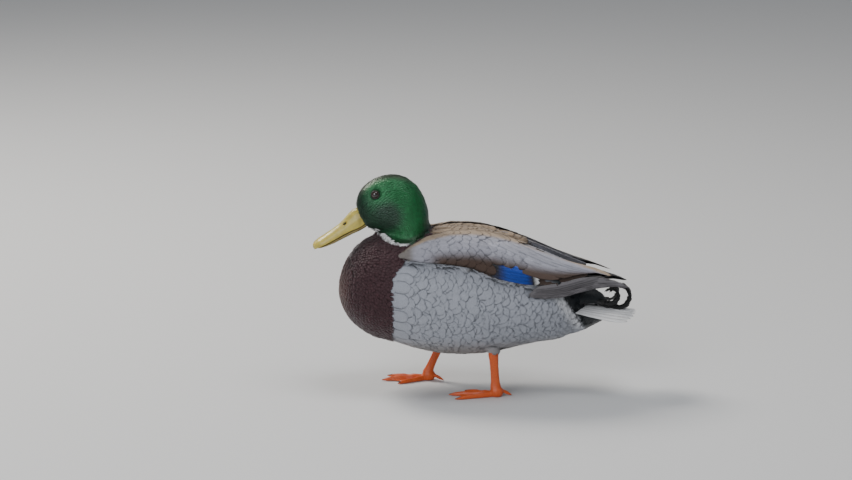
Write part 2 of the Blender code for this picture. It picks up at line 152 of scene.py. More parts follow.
def activate(obj):
    """Makes one object the only one selected."""
    bpy.ops.object.select_all(action="DESELECT")
    obj.select_set(True)
    bpy.context.view_layer.objects.active = obj


def apply_modifier(obj, kind, **settings):
    """Adds one modifier and applies it."""
    activate(obj)
    modifier = obj.modifiers.new(kind.lower(), kind)
    for key, value in settings.items():
        setattr(modifier, key, value)
    bpy.ops.object.modifier_apply(modifier=modifier.name)


def joined_copy(name, nodes):
    """One new object from copies of those solids, with their triangles merged."""
    parts = []
    for node in nodes:
        part = bpy.data.objects.new(name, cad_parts[node].data.copy())
        part.data.materials.clear()
        bpy.context.scene.collection.objects.link(part)
        parts.append(part)
    bpy.ops.object.select_all(action="DESELECT")
    for part in parts:
        part.select_set(True)
    bpy.context.view_layer.objects.active = parts[0]
    if len(parts) > 1:
        bpy.ops.object.join()
    made = bpy.context.view_layer.objects.active
    bpy.ops.object.mode_set(mode="EDIT")
    bpy.ops.mesh.select_all(action="SELECT")
    bpy.ops.mesh.remove_doubles(threshold=0.00001)
    bpy.ops.object.mode_set(mode="OBJECT")
    made.name = name
    made.data.name = name
    return made


def run_together(obj, fill, voxel, smoothing):
    """Swells the shells until they meet, makes them one surface, and draws it back."""
    apply_modifier(obj, "DISPLACE", strength=fill, mid_level=0)
    apply_modifier(obj, "REMESH", mode="VOXEL", voxel_size=voxel)
    apply_modifier(obj, "SMOOTH", factor=0.5, iterations=smoothing)
    apply_modifier(obj, "DISPLACE", strength=-fill, mid_level=0)
    activate(obj)
    bpy.ops.object.shade_smooth()


def points_of(mesh):
    found = np.empty(len(mesh.vertices) * 3)
    mesh.vertices.foreach_get("co", found)
    return found.reshape(-1, 3)


def step(low, high, value):
    """0 below low, 1 above high, and smooth between them."""
    share = np.clip((value - low) / (high - low), 0, 1)
    return share * share * (3 - 2 * share)


def blend(first, second, share):
    share = np.asarray(share)[..., None]
    return np.asarray(first) * (1 - share) + np.asarray(second) * share


def collar_height(x):
    """Height of the white collar's line along the neck's foot, in millimetres."""
    return np.interp(x, (-126, -112, -102, -91, -76, -66, -50), (190, 182, 175.2, 171.8, 172.6, 177, 186))


def wing_colour(x, z):
    """Folded wing: pale grey above, brown below, the blue band in black and a white bar."""
    share = (np.interp(x, WING_EDGES[:, 0], WING_EDGES[:, 1]) - z) / np.interp(
        x, WING_EDGES[:, 0], WING_EDGES[:, 1] - WING_EDGES[:, 2]
    )
    brown = step(np.interp(x, (-30, 20), (0.42, 0.34)), np.interp(x, (-30, 20), (0.86, 0.66)), share)
    brown = brown * step(-60, -38, x)
    colour = blend(WING_GREY, WING_BROWN, brown)
    colour = blend(colour, WING_EDGE, step(0.10, 0.03, share) * 0.9)
    colour = blend(colour, OLIVE, step(-66, -76, x) * 0.8)
    return colour, share


def body_colour(place, tract, lean=0.0):
    """The plumage's colour at places on the body, and how strongly it is barred.

    lean moves the breast's rear border, in millimetres, for feathers rooted across it.
    """
    x, y, z = (place[..., k] * 1000 for k in range(3))
    side = np.abs(y)
    head = (tract == "head") | (tract == "neck")

    from_cheek = np.hypot(x + 99, z - 201)
    lit = step(9, 25, from_cheek) * step(-131, -104, x + 0.5 * (z - 215))
    green = blend(GREEN_BLACK, GREEN, np.clip(0.16 + 0.84 * lit, 0, 1))
    # Painted sheen: the front of the crown is drawn purple-brown where the gloss of the head catches the
    # light.
    green = blend(green, FOREHEAD_SHEEN, 0.7 * step(12, 4, side) * step(218, 232, z) * step(-66, -86, x))
    green = blend(green, NAPE_BLUE, 0.6 * step(-62, -53, x))
    above = z - collar_height(x)
    green = blend(green, (0.012, 0.009, 0.008), 0.6 * step(7, 2, above) * step(-120, -108, x))
    white_ring = step(0.9, 0.5, above) * step(-72, -78, x)
    green = blend(green, WHITE, white_ring)

    edge = np.interp(z, (0, 139, 158, 182, 190), (-102, -102, -87, -57, -50))
    back_of_breast = step(edge - 1.8, edge + 1.8, x + lean)
    # Painted highlight: the breast's front band is drawn lighter and redder where the light falls on it.
    chestnut = blend(CHESTNUT, CHESTNUT_LIT_RIM, step(-136, -156, x) * 0.8)
    chestnut = blend(chestnut, WHITE, step(-1.0, -0.5, above) * step(-72, -78, x) * step(34, 30, side))
    flank = blend(FLANK, BELLY, step(72, 48, z))
    rear_edge = 97 + np.clip(112 - z, -6, 60) * 0.62
    flank = blend(flank, FLANK_LIGHT, step(rear_edge - 15, rear_edge - 3, x) * step(66, 80, z))
    barred = back_of_breast * (1 - step(rear_edge - 18, rear_edge - 6, x))
    back = np.interp(x, (-100, -50, 27, 50, 72, 90, 103, 112), (182, 187, 180, 170, 158, 145, 133, 121))
    upper = step(back - 26, back - 16, z) * step(60, 42, side)
    flank = blend(flank, blend(MANTLE, RUMP, step(48, 66, x)), upper)
    barred = barred * (1 - 0.8 * upper)
    olive = step(edge + 7, edge + 4.5, x) * step(137, 146, z)
    flank = blend(flank, OLIVE, olive * back_of_breast)
    body = blend(chestnut, flank, back_of_breast)
    black = np.maximum(step(rear_edge - 0.8, rear_edge + 0.8, x) * step(150, 142, z), (tract == "rump") * 1.0)
    body = blend(body, RUMP, black)
    wing, _ = wing_colour(x, z)
    is_wing = np.char.startswith(np.asarray(tract).astype(str), "wing")
    colour = np.where(head[..., None], green, np.where(is_wing[..., None], wing, body))
    return colour, np.where(head, 0.0, barred)


def set_tint(mesh, colours, barred):
    tint = mesh.attributes.new("tint", "FLOAT_COLOR", "POINT")
    tint.data.foreach_set("color", np.c_[colours, np.ones(len(colours))].astype(np.float32).ravel())
    bars = mesh.attributes.new("bars", "FLOAT", "POINT")
    bars.data.foreach_set("value", np.asarray(barred, np.float32))


tract_trees = {}
for node in FLESH:
    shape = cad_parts[node].data
    shape.calc_loop_triangles()
    tract_trees[node] = BVHTree.FromPolygons(
        [v.co for v in shape.vertices], [t.vertices for t in shape.loop_triangles]
    )


def tracts_of(places):
    """The name of the solid that each place is nearest to."""
    names = list(tract_trees)
    found = []
    for place in places:
        point = Vector(place)
        reach = [tract_trees[name].find_nearest(point)[3] for name in names]
        found.append(names[int(np.argmin(reach))])
    return np.array(found)


skin = joined_copy("skin", FLESH)
run_together(skin, 0.0009, 0.0018, 14)
skin_points = points_of(skin.data)
skin_normals = np.empty(len(skin_points) * 3)
skin.data.vertices.foreach_get("normal", skin_normals)
skin_normals = skin_normals.reshape(-1, 3)
skin_tracts = tracts_of(skin_points)
x, side, above = skin_points[:, 0] * 1000, np.abs(skin_points[:, 1]) * 1000, skin_points[:, 2] * 1000
above = above - collar_height(x)
by_neck = np.isin(skin_tracts, ("head", "neck", "breast", "trunk")) & (x < -66) & (side < 34)
skin_tracts[by_neck & (above > 0) & (x > -128)] = "neck"
skin_tracts[by_neck & (above < 0) & (above > -40) & (x < -74)] = "breast"
skin_tracts[(skin_tracts == "neck") & (x > -66) & (above < -2)] = "trunk"
on_head = np.isin(skin_tracts, ("head", "neck"))
on_wing = np.char.startswith(skin_tracts.astype(str), "wing")
depth = np.where(on_head, HEAD_DEPTH, np.where(on_wing, WING_DEPTH, BODY_DEPTH))
skin_points = skin_points - skin_normals * depth[:, None]
past_end = on_wing & (skin_points[:, 0] > WING_SKIN_END)
skin_points[past_end, 0] = WING_SKIN_END + 0.02 * (skin_points[past_end, 0] - WING_SKIN_END)
wing_top = np.interp(skin_points[:, 0] * 1000, WING_EDGES[:, 0], WING_EDGES[:, 1]) / 1000 - 0.0028
trimmed = on_wing & (skin_points[:, 0] > 0.040) & (skin_points[:, 2] > wing_top)
skin_points[trimmed, 2] = wing_top[trimmed]
skin.data.vertices.foreach_set("co", skin_points.ravel())
skin.data.update()
set_tint(skin.data, *body_colour(skin_points, skin_tracts))


def link(tree, start, end):
    tree.links.new(start, end)


def skin_material():
    """Down-covered skin that carries the plumage's colours, a shade darker and quite matt."""
    made = bpy.data.materials.new("skin_down")
    made.use_nodes = True
    tree = made.node_tree
    shader = tree.nodes["Principled BSDF"]
    shader.inputs["Roughness"].default_value = 0.85
    shader.inputs["Sheen Weight"].default_value = 0.15
    tint = tree.nodes.new("ShaderNodeAttribute")
    tint.attribute_name = "tint"
    place = tree.nodes.new("ShaderNodeTexCoord")
    fluff = tree.nodes.new("ShaderNodeTexNoise")
    fluff.inputs["Scale"].default_value = 900
    link(tree, place.outputs["Object"], fluff.inputs["Vector"])
    darker = tree.nodes.new("ShaderNodeMix")
    darker.data_type = "RGBA"
    darker.blend_type = "MULTIPLY"
    darker.inputs["Factor"].default_value = 1
    shade = tree.nodes.new("ShaderNodeMapRange")
    shade.inputs["To Min"].default_value = 0.62
    shade.inputs["To Max"].default_value = 0.95
    link(tree, fluff.outputs["Fac"], shade.inputs["Value"])
    link(tree, tint.outputs["Color"], darker.inputs["A"])
    link(tree, shade.outputs["Result"], darker.inputs["B"])
    link(tree, darker.outputs["Result"], shader.inputs["Base Color"])
    bump = tree.nodes.new("ShaderNodeBump")
    bump.inputs["Strength"].default_value = 0.4
    bump.inputs["Distance"].default_value = 0.0004
    link(tree, fluff.outputs["Fac"], bump.inputs["Height"])
    link(tree, bump.outputs["Normal"], shader.inputs["Normal"])
    return made


skin.data.materials.append(skin_material())
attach(skin, "root")
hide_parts(*FLESH)


# ------------------------------------------------------------------ head plumage
# Very short, silky feathers that lie flat from the bill backwards over the face, cheeks and nape.
# Each is a thin closed vane rooted in the skin; the same way of growing them serves every tract.
BILL_ROOT = np.array((-0.131, 0.0, 0.197))
EYES = {side: sum(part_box("eye_" + side), Vector()) / 2 for side in SIDES}

skin.data.calc_loop_triangles()
skin_triangles = np.array([t.vertices for t in skin.data.loop_triangles])
skin_tree = BVHTree.FromPolygons([Vector(p) for p in skin_points], skin_triangles.tolist())
corners = skin_points[skin_triangles]
crosses = np.cross(corners[:, 1] - corners[:, 0], corners[:, 2] - corners[:, 0])
triangle_areas = np.linalg.norm(crosses, axis=1) / 2
triangle_tracts = skin_tracts[skin_triangles[:, 0]]


def spread(seed, wanted, spacing):
    """Places on the skin about that far apart, among the triangles that are wanted."""
    rng = np.random.default_rng(seed)
    chosen = np.flatnonzero(wanted)
    areas = triangle_areas[chosen]
    tries = int(areas.sum() / spacing**2 * 3.2)
    picks = chosen[rng.choice(len(chosen), tries, p=areas / areas.sum())]
    a, b = rng.random((2, tries, 1))
    over = (a + b) > 1
    a, b = np.where(over, 1 - a, a), np.where(over, 1 - b, b)
    places = corners[picks, 0] * (1 - a - b) + corners[picks, 1] * a + corners[picks, 2] * b
    cells = {}
    kept = []
    for k, key in enumerate(map(tuple, np.floor(places / spacing).astype(int))):
        near = [
            m
            for dx in (-1, 0, 1)
            for dy in (-1, 0, 1)
            for dz in (-1, 0, 1)
            for m in cells.get((key[0] + dx, key[1] + dy, key[2] + dz), ())
        ]
        if all(((places[m] - places[k]) ** 2).sum() > spacing**2 for m in near):
            cells.setdefault(key, []).append(k)
            kept.append(k)
    normals = crosses[picks[kept]]
    normals /= np.linalg.norm(normals, axis=1, keepdims=True)
    return places[kept], normals, triangle_tracts[picks[kept]]


def lie_of(places, tracts):
    """The way that feathers point at places on the body, before they are laid flat on it."""
    head = np.isin(tracts, ("head", "neck"))
    from_bill = places - BILL_ROOT
    from_bill /= np.linalg.norm(from_bill, axis=1, keepdims=True)
    droop = step(-0.108, -0.060, places[:, 0])
    from_bill[:, 2] -= 1.1 * droop
    way = np.tile((1.0, 0.0, -0.06), (len(places), 1))
    way[:, 2] -= 0.75 * step(-0.085, -0.135, places[:, 0])
    thigh = np.char.startswith(tracts.astype(str), "thigh")
    way[thigh] = (0.5, 0.0, -1.0)
    return np.where(head[:, None], from_bill, way)


def lay_flat(ways, normals):
    ways = ways - normals * (ways * normals).sum(1, keepdims=True)
    return ways / (np.linalg.norm(ways, axis=1, keepdims=True) + 1e-9)


def on_skin(places, ways, normals):
    """Gives the function that carries a vane's own lengths and widths to the skin under it."""
    across = np.cross(normals, ways)

    def carry(along, aside):
        flat = (
            places[:, None, None]
            + ways[:, None, None] * along[..., None]
            + across[:, None, None] * aside[..., None]
        )
        shape = flat.shape
        spots = np.empty((flat.size // 3, 3))
        facings = np.empty_like(spots)
        for k, point in enumerate(flat.reshape(-1, 3)):
            spot, facing, _, _ = skin_tree.find_nearest(Vector(point))
            spots[k] = spot
            facings[k] = facing
        return spots.reshape(shape), facings.reshape(shape)

    return carry


BAKE_MARGIN = 0.004  # of the bake map's side, left free round the roots
BAKE_PATCH = 0.003   # of the bake map's side, taken by one feather


def grow(name, carry, lengths, widths, outline, columns, lift, colours, barred, unwrap, seed,
         camber=0.25, fray=0.0, thick=0.00012):
    """Builds one tract of closed vanes as one mesh, with its colours and its two UV maps.

    outline holds (share of the length, share of the width) rings between the root and the tip.
    lift holds the height over the surface at the root and at the tip.
    """
    rng = np.random.default_rng(seed)
    count = len(lengths)
    shares = np.array([s for s, _ in outline])
    swell = np.array([w for _, w in outline])
    spans = np.linspace(-1, 1, columns)
    stations = np.r_[0.0, shares, 1.0]
    swells = np.r_[0.0, swell, 0.0]
    long_of = lengths[:, None, None] * stations[None, :, None] * np.ones((1, 1, columns + 1))
    spans_all = np.r_[spans, 0.0]
    wide_of = widths[:, None, None] / 2 * swells[None, :, None] * spans_all[None, None, :]
    if fray:
        ragged = rng.normal(0, fray, (count, 1, columns + 1)) * stations[None, :, None] ** 6
        long_of = long_of * (1 + ragged)
    spots, facings = carry(long_of, wide_of)
    first, last = (np.broadcast_to(value, count)[:, None, None] for value in lift)
    height = first + (last - first) * stations[None, :, None]
    height = height + rng.normal(0, 0.05, (count, 1, 1)) * (last - first)
    height = height - camber * np.abs(wide_of) * (0.3 + 0.7 * stations[None, :, None])
    height[:, :, -1] -= thick + 0.012 * widths[:, None] * swells[None, :]
    vertices = spots + facings * height[..., None]

    rings = len(stations)
    loop = columns + 1
    root_points = vertices[:, 0, columns // 2]
    tip_points = vertices[:, -1, columns // 2]
    body_points = vertices[:, 1:-1]
    per_vane = 2 + (rings - 2) * loop
    points = np.concatenate(
        [root_points[:, None], body_points.reshape(count, -1, 3), tip_points[:, None]], axis=1
    ).reshape(-1, 3)
    middle = columns // 2
    softened = np.concatenate(
        [facings[:, :1, middle], facings[:, 1:-1].reshape(count, -1, 3), facings[:, -1:, middle]],
        axis=1,
    ).reshape(-1, 3)

    faces, corner_spans, corner_shares = [], [], []
    loop_spans = list(spans) + [0.0]
    inner = rings - 2
    for c in range(loop):
        after = (c + 1) % loop
        faces.append((0, 1 + after, 1 + c))
        corner_spans.append((0.0, loop_spans[after], loop_spans[c]))
        corner_shares.append((0.0, stations[1], stations[1]))
        for r in range(inner - 1):
            here, there = 1 + r * loop, 1 + (r + 1) * loop
            faces.append((here + c, here + after, there + after, there + c))
            corner_spans.append((loop_spans[c], loop_spans[after], loop_spans[after], loop_spans[c]))
            corner_shares.append((stations[r + 1], stations[r + 1], stations[r + 2], stations[r + 2]))
        last = 1 + (inner - 1) * loop
        faces.append((last + c, last + after, per_vane - 1))
        corner_spans.append((loop_spans[c], loop_spans[after], 0.0))
        corner_shares.append((stations[-2], stations[-2], 1.0))

    sizes = np.array([len(f) for f in faces])
    flat_faces = np.concatenate([np.array(f) for f in faces])
    flat_spans = np.concatenate([np.array(f) for f in corner_spans])
    flat_shares = np.concatenate([np.array(f) for f in corner_shares])
    mesh = bpy.data.meshes.new(name)
    mesh.vertices.add(len(points))
    mesh.vertices.foreach_set("co", points.astype(np.float32).ravel())
    every = (flat_faces[None, :] + np.arange(count)[:, None] * per_vane).ravel()
    mesh.loops.add(len(every))
    mesh.loops.foreach_set("vertex_index", every.astype(np.int32))
    starts = np.r_[0, np.cumsum(sizes)[:-1]]
    all_starts = (starts[None, :] + np.arange(count)[:, None] * len(flat_faces)).ravel()
    mesh.polygons.add(len(all_starts))
    mesh.polygons.foreach_set("loop_start", all_starts.astype(np.int32))
    mesh.update(calc_edges=True)
    mesh.polygons.foreach_set("use_smooth", np.ones(len(all_starts), bool))

    vane_map = mesh.uv_layers.new(name="vane")
    u = np.tile((flat_spans + 1) / 2, count)
    v = np.tile(flat_shares, count)
    vane_map.data.foreach_set("uv", np.c_[u, v].astype(np.float32).ravel())
    spot = unwrap(root_points)
    low, high = spot.min(0), spot.max(0)
    size = np.maximum(high - low, 1e-9)  # roots in one straight row have no spread that way
    spot = BAKE_MARGIN + (1 - 2 * BAKE_MARGIN) * (spot - low) / size
    bake_map = mesh.uv_layers.new(name="OFBake")
    patch = np.c_[flat_spans / 2, flat_shares - 0.5] * BAKE_PATCH
    bake = np.clip(spot[:, None] + patch[None], 0, 1)
    bake_map.data.foreach_set("uv", bake.reshape(-1, 2).astype(np.float32).ravel())

    tip_share = np.r_[0.0, np.repeat(stations[1:-1], loop), 1.0]
    across_share = np.r_[0.0, np.tile(loop_spans, inner), 0.0]
    tints = colours(points.reshape(count, per_vane, 3), tip_share, across_share)
    bars = np.repeat(np.asarray(barred)[:, None], per_vane, axis=1)
    set_tint(mesh, tints.reshape(-1, 3), bars.ravel())
    body_facing = mesh.attributes.new("body_facing", "FLOAT_VECTOR", "POINT")
    body_facing.data.foreach_set("vector", softened.astype(np.float32).ravel())
    made = bpy.data.objects.new(name, mesh)
    bpy.context.scene.collection.objects.link(made)
    activate(made)
    bpy.ops.object.mode_set(mode="EDIT")
    bpy.ops.mesh.select_all(action="SELECT")
    bpy.ops.mesh.normals_make_consistent(inside=False)
    bpy.ops.object.mode_set(mode="OBJECT")
    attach(made, "root")
    return made


def around_head(places):
    """The head's skin laid out: height of the cheek against the turn round the skull."""
    x, y, z = (places[:, k] for k in range(3))
    turn = np.arctan2(y, -(x + 0.088))
    return np.c_[turn, z]


def around_body(places):
    """The body's skin laid out: length against the turn round the trunk, opened under the belly."""
    x, y, z = (places[:, k] for k in range(3))
    turn = np.arctan2(y, z - 0.105)
    return np.c_[x, turn]


def own_tint(tracts, lean, spreading, seed, tip_light=0.0):
    """Gives each point of a vane the plumage's colour there, paler at the tip, in its own shade."""
    rng = np.random.default_rng(seed)
    shade = np.exp(rng.normal(0, spreading, (len(tracts), 1, 1)))

    def paint(points, tip_share, across_share):
        tints, _ = body_colour(points, np.broadcast_to(tracts[:, None], points.shape[:2]), lean)
        paler = 1 + tip_light * (tip_share[None, :, None] - 0.5)
        return np.clip(tints * shade * paler, 0, 0.95)

    return paint


def plumage_material(name, roughness, barbs, bar_count, bar_depth, gloss=0.3, sheen=0.2,
                     shaft=0.0, metallic=0.0, soft=0.6):
    """Feather: its own tint, fine barbs off the shaft, thin wavy bars where the tract has them."""
    made = bpy.data.materials.new(name)
    made.use_nodes = True
    tree = made.node_tree
    shader = tree.nodes["Principled BSDF"]
    shader.inputs["Roughness"].default_value = roughness
    shader.inputs["Specular IOR Level"].default_value = gloss
    shader.inputs["Sheen Weight"].default_value = sheen
    shader.inputs["Sheen Roughness"].default_value = 0.5
    shader.inputs["Metallic"].default_value = metallic

    def node(kind, **values):
        new = tree.nodes.new(kind)
        for key, value in values.items():
            setattr(new, key, value)
        return new

    def sum_of(operation, first, second):
        new = node("ShaderNodeMath", operation=operation)
        for socket, value in zip(new.inputs, (first, second)):
            if isinstance(value, (int, float)):
                socket.default_value = value
            else:
                link(tree, value, socket)
        return new.outputs[0]

    vane = node("ShaderNodeUVMap", uv_map="vane")
    split = node("ShaderNodeSeparateXYZ")
    link(tree, vane.outputs["UV"], split.inputs[0])
    off_shaft = sum_of("ABSOLUTE", sum_of("SUBTRACT", split.outputs["X"], 0.5), 0)
    slant = sum_of("SUBTRACT", split.outputs["Y"], sum_of("MULTIPLY", off_shaft, 0.35))
    place = node("ShaderNodeTexCoord")
    waver = node("ShaderNodeTexNoise")
    waver.inputs["Scale"].default_value = 260
    waver.inputs["Detail"].default_value = 3
    link(tree, place.outputs["Object"], waver.inputs["Vector"])
    barb = sum_of("SINE", sum_of("ADD", sum_of("MULTIPLY", slant, barbs * 2 * pi),
                                 sum_of("MULTIPLY", waver.outputs["Fac"], 9)), 0)
    bar_phase = sum_of("ADD", sum_of("MULTIPLY", slant, bar_count * 2 * pi),
                       sum_of("MULTIPLY", waver.outputs["Fac"], 14))
    bar = sum_of("MULTIPLY", sum_of("ADD", sum_of("SINE", bar_phase, 0), 1), 0.5)
    bars = node("ShaderNodeAttribute", attribute_name="bars")
    dark = sum_of("MULTIPLY", sum_of("MULTIPLY", bar, bars.outputs["Fac"]), bar_depth)
    bar_shade = sum_of("SUBTRACT", 1, dark)
    barb_shade = sum_of("ADD", 1, sum_of("MULTIPLY", barb, 0.07))
    mottle = sum_of("ADD", 0.86, sum_of("MULTIPLY", waver.outputs["Fac"], 0.28))
    shade = sum_of("MULTIPLY", sum_of("MULTIPLY", bar_shade, barb_shade), mottle)
    if shaft:
        line = node("ShaderNodeMapRange", clamp=True)
        link(tree, off_shaft, line.inputs["Value"])
        line.inputs["From Min"].default_value = 0.012
        line.inputs["From Max"].default_value = 0.03
        line.inputs["To Min"].default_value = 1 + shaft
        line.inputs["To Max"].default_value = 1.0
        shade = sum_of("MULTIPLY", shade, line.outputs["Result"])
    tint = node("ShaderNodeAttribute", attribute_name="tint")
    paint = node("ShaderNodeMix", data_type="RGBA", blend_type="MULTIPLY")
    paint.inputs["Factor"].default_value = 1
    link(tree, tint.outputs["Color"], paint.inputs["A"])
    link(tree, shade, paint.inputs["B"])
    link(tree, paint.outputs["Result"], shader.inputs["Base Color"])
    facing = node("ShaderNodeAttribute", attribute_name="body_facing")
    own = node("ShaderNodeNewGeometry")
    mixed = node("ShaderNodeMix", data_type="VECTOR")
    mixed.inputs["Factor"].default_value = soft
    link(tree, own.outputs["Normal"], mixed.inputs["A"])
    link(tree, facing.outputs["Vector"], mixed.inputs["B"])
    even = node("ShaderNodeVectorMath", operation="NORMALIZE")
    link(tree, mixed.outputs["Result"], even.inputs[0])
    bump = node("ShaderNodeBump")
    bump.inputs["Strength"].default_value = 0.22
    bump.inputs["Distance"].default_value = 0.0002
    link(tree, barb, bump.inputs["Height"])
    link(tree, even.outputs["Vector"], bump.inputs["Normal"])
    link(tree, bump.outputs["Normal"], shader.inputs["Normal"])
    return made


ROUND_TIP = ((0.16, 0.55), (0.45, 0.98), (0.72, 1.0), (0.90, 0.66))
SMALL_TIP = ((0.25, 0.8), (0.66, 1.0), (0.88, 0.6))
silk = plumage_material("head_silk", 0.34, 5, 1, 0.0, gloss=0.55, sheen=0.06, metallic=0.35, soft=0.75)


def cover(name, wanted, spacing, length, width, outline, columns, lift, finish, seed,
          unwrap=around_body, tip_light=0.15, spreading=0.08, fray=0.04, camber=0.22, lean=0.0):
    """Covers part of the skin with one tract of feathers."""
    places, normals, tracts = spread(seed, wanted, spacing)
    if unwrap is around_head:
        clear = [np.linalg.norm(places - np.array(EYES[side]), axis=1) > 0.0056 for side in SIDES]
        keep = clear[0] & clear[1]
        places, normals, tracts = places[keep], normals[keep], tracts[keep]
    rng = np.random.default_rng(seed + 1)
    ways = lie_of(places, tracts) + rng.normal(0, 0.05, places.shape)
    ways = lay_flat(ways, normals)
    _, barred = body_colour(places, tracts, lean)
    lengths = length * np.exp(rng.normal(0, 0.07, len(places)))
    widths = width * np.exp(rng.normal(0, 0.07, len(places)))
    if unwrap is around_head:
        small = 0.55 + 0.45 * step(0.004, 0.030, np.linalg.norm(places - BILL_ROOT, axis=1))
        lengths, widths = lengths * small, widths * small
    ends = np.array((0.5, 0.5, 1.0, 1.0, 1.0))[None, None] * lengths[:, None, None]
    flanks = np.array((-0.5, 0.5, -0.3, 0.0, 0.3))[None, None] * widths[:, None, None]
    facings = on_skin(places, ways, normals)(ends, flanks)[1][:, 0]
    even = (facings * normals[:, None]).sum(-1).min(1) > 0.35
    places, ways, normals, tracts = places[even], ways[even], normals[even], tracts[even]
    lengths, widths, barred = lengths[even], widths[even], barred[even]
    made = grow(
        name, on_skin(places, ways, normals), lengths, widths, outline, columns, lift,
        own_tint(tracts, lean, spreading, seed + 2, tip_light), barred, unwrap, seed + 3,
        camber=camber, fray=fray,
    )
    made.data.materials.append(finish)
    return made


centres = corners.mean(axis=1)
for side, sign in SIDES.items():
    half = centres[:, 1] * sign > 0
    cover("head_feathers_" + side, (triangle_tracts == "head") & half, 0.00105, 0.0050, 0.0018, SMALL_TIP, 3,
          (0.0001, 0.0009), silk, 10, around_head, spreading=0.10, camber=0.12)
cover("neck_feathers", triangle_tracts == "neck", 0.0014, 0.0060, 0.0026, SMALL_TIP, 3, (0.0001, 0.0009),
      silk, 20, around_head, spreading=0.08, camber=0.12)


# ------------------------------------------------------------------ breast plumage
# Short, dense, rounded feathers of dark chestnut, laid down and back from the neck's foot.
# They are small and their tips show as a fine scaling.
velvet = plumage_material("breast_velvet", 0.62, 6, 1, 0.0, gloss=0.22, sheen=0.30)
x_of, y_of, z_of = centres[:, 0], centres[:, 1], centres[:, 2]
trunk_like = np.isin(triangle_tracts, ("trunk", "breast"))
breast_edge = np.interp(z_of, (0, 0.139, 0.158, 0.182, 0.190), (-0.102, -0.102, -0.087, -0.057, -0.050))
front = trunk_like & (x_of < breast_edge + 0.002)
for side, sign in SIDES.items():
    cover("breast_feathers_" + side, front & (y_of * sign > -0.001), 0.0020, 0.0092, 0.0046, ROUND_TIP, 3,
          (0.0002, 0.0019), velvet, 30, tip_light=0.35, spreading=0.08, camber=0.10,
          lean=-11)


# ------------------------------------------------------------------ flank and belly plumage
# Broad soft feathers, pale grey with thin wavy bars, that wrap the sides and the belly.
# Those at the top lie over the lower edge of the folded wing, and the hindmost are nearly white.
barred_grey = plumage_material("flank_bars", 0.72, 11, 21, 0.24, gloss=0.12, sheen=0.2, soft=0.85)
thighs = np.char.startswith(triangle_tracts.astype(str), "thigh")
rest = (trunk_like & (x_of >= breast_edge + 0.0005)) | thighs
low = z_of < 0.158
for side, sign in SIDES.items():
    half = y_of * sign > -0.002
    cover("flank_feathers_" + side, rest & low & half, 0.0048, 0.029, 0.0155, ROUND_TIP, 7,
          (0.0004, 0.0016), barred_grey, 40 if side == "left" else 50,
          tip_light=0.03, spreading=0.012, fray=0.03, camber=0.015, lean=3)


# ------------------------------------------------------------------ mantle plumage
# Brown and tan feathers down the middle of the back, between the folded wings.
mantle_coat = plumage_material("mantle_brown", 0.62, 9, 9, 0.35, gloss=0.25, shaft=0.2)
cover("mantle_feathers", rest & ~low, 0.0046, 0.024, 0.0125, ROUND_TIP, 5, (0.0003, 0.0018),
      mantle_coat, 60, tip_light=0.35, spreading=0.08, fray=0.03, camber=0.02)


# ------------------------------------------------------------------ tail coverts
# Glossy black feathers over and under the root of the tail.
jet = plumage_material("covert_black", 0.42, 9, 1, 0.0, gloss=0.4, sheen=0.1, soft=0.8)
for name, node, seed in (("rump_feathers", "rump", 70), ("undertail_feathers", "undertail", 80)):
    cover(name, triangle_tracts == node, 0.0030, 0.015, 0.0075, ROUND_TIP, 5, (0.0002, 0.0018),
          jet, seed, tip_light=0.2, spreading=0.10, camber=0.05)


# ------------------------------------------------------------------ folded wings
# Each wing lies shut on the back: rows of pale scapulars, the brown tertials over the rump,
# the secondaries with their blue band and white bar, and the bundle of long primaries below.
WING = (
    (-82, 45.5, 166.5, 49, 160.5, 0.3), (-73, 38.5, 172, 54, 159, 3), (-55, 27, 180, 59.5, 157, 7),
    (-29, 20, 186, 62.5, 155.5, 9), (-6, 17.5, 186.5, 64, 152, 9.5), (10, 16, 185, 65, 145.5, 10),
    (27, 14, 181.5, 65, 139, 10), (49, 12, 174.5, 62, 134, 9.5), (72, 10.5, 165.5, 54, 129.5, 8),
    (94, 10, 156, 43.5, 129, 5.5), (116, 10.5, 147, 31.5, 132.5, 3), (135, 13, 139.5, 21, 135.6, 1),
    (148, 14.5, 133.6, 18.8, 131.6, 0.4), (156, 16, 130.2, 17.6, 129.5, 0.1),
)
PRIMARIES = (
    (56, 56, 128.5, 59, 118.5, 0.5), (73, 51, 129.5, 55, 114.8, 1.5), (94, 41, 130.5, 46.5, 114.4, 1.5),
    (116, 29, 133.5, 36, 118.6, 1.5), (139, 16, 134.3, 24, 121.3, 1.2), (156, 16.5, 129, 21.5, 121.6, 0.8),
    (167, 18, 123.8, 20.3, 120.2, 0.3), (172, 19.2, 121, 19.9, 119.6, 0.1),
)
QUILL = (0.090, 0.083, 0.090)


def blade_point(table, x, share, sign):
    """The outer face of a folded blade: places and facings, at x (mm) and that share from its upper edge."""
    rows = np.array(table, float)
    values = [np.interp(x, rows[:, 0], rows[:, k]) for k in range(1, 6)]
    upper = np.stack(values[0:2], -1)
    lower = np.stack(values[2:4], -1)
    chord = lower - upper
    length = np.linalg.norm(chord, axis=-1, keepdims=True)
    outward = np.stack((-chord[..., 1], chord[..., 0]), -1) / length
    inside = np.clip(share, 0, 1)
    arch = np.sin(pi * inside) ** 0.8
    place = upper + chord * share[..., None] + outward * (values[4] * arch)[..., None]
    slope = values[4] * pi * np.cos(pi * inside)
    facing = outward - chord / length * (slope / length[..., 0])[..., None]
    places = np.stack((x, sign * place[..., 0], place[..., 1]), -1) / 1000
    facings = np.stack((0.0 * x, sign * facing[..., 0], facing[..., 1]), -1)
    return places, facings / np.linalg.norm(facings, axis=-1, keepdims=True)


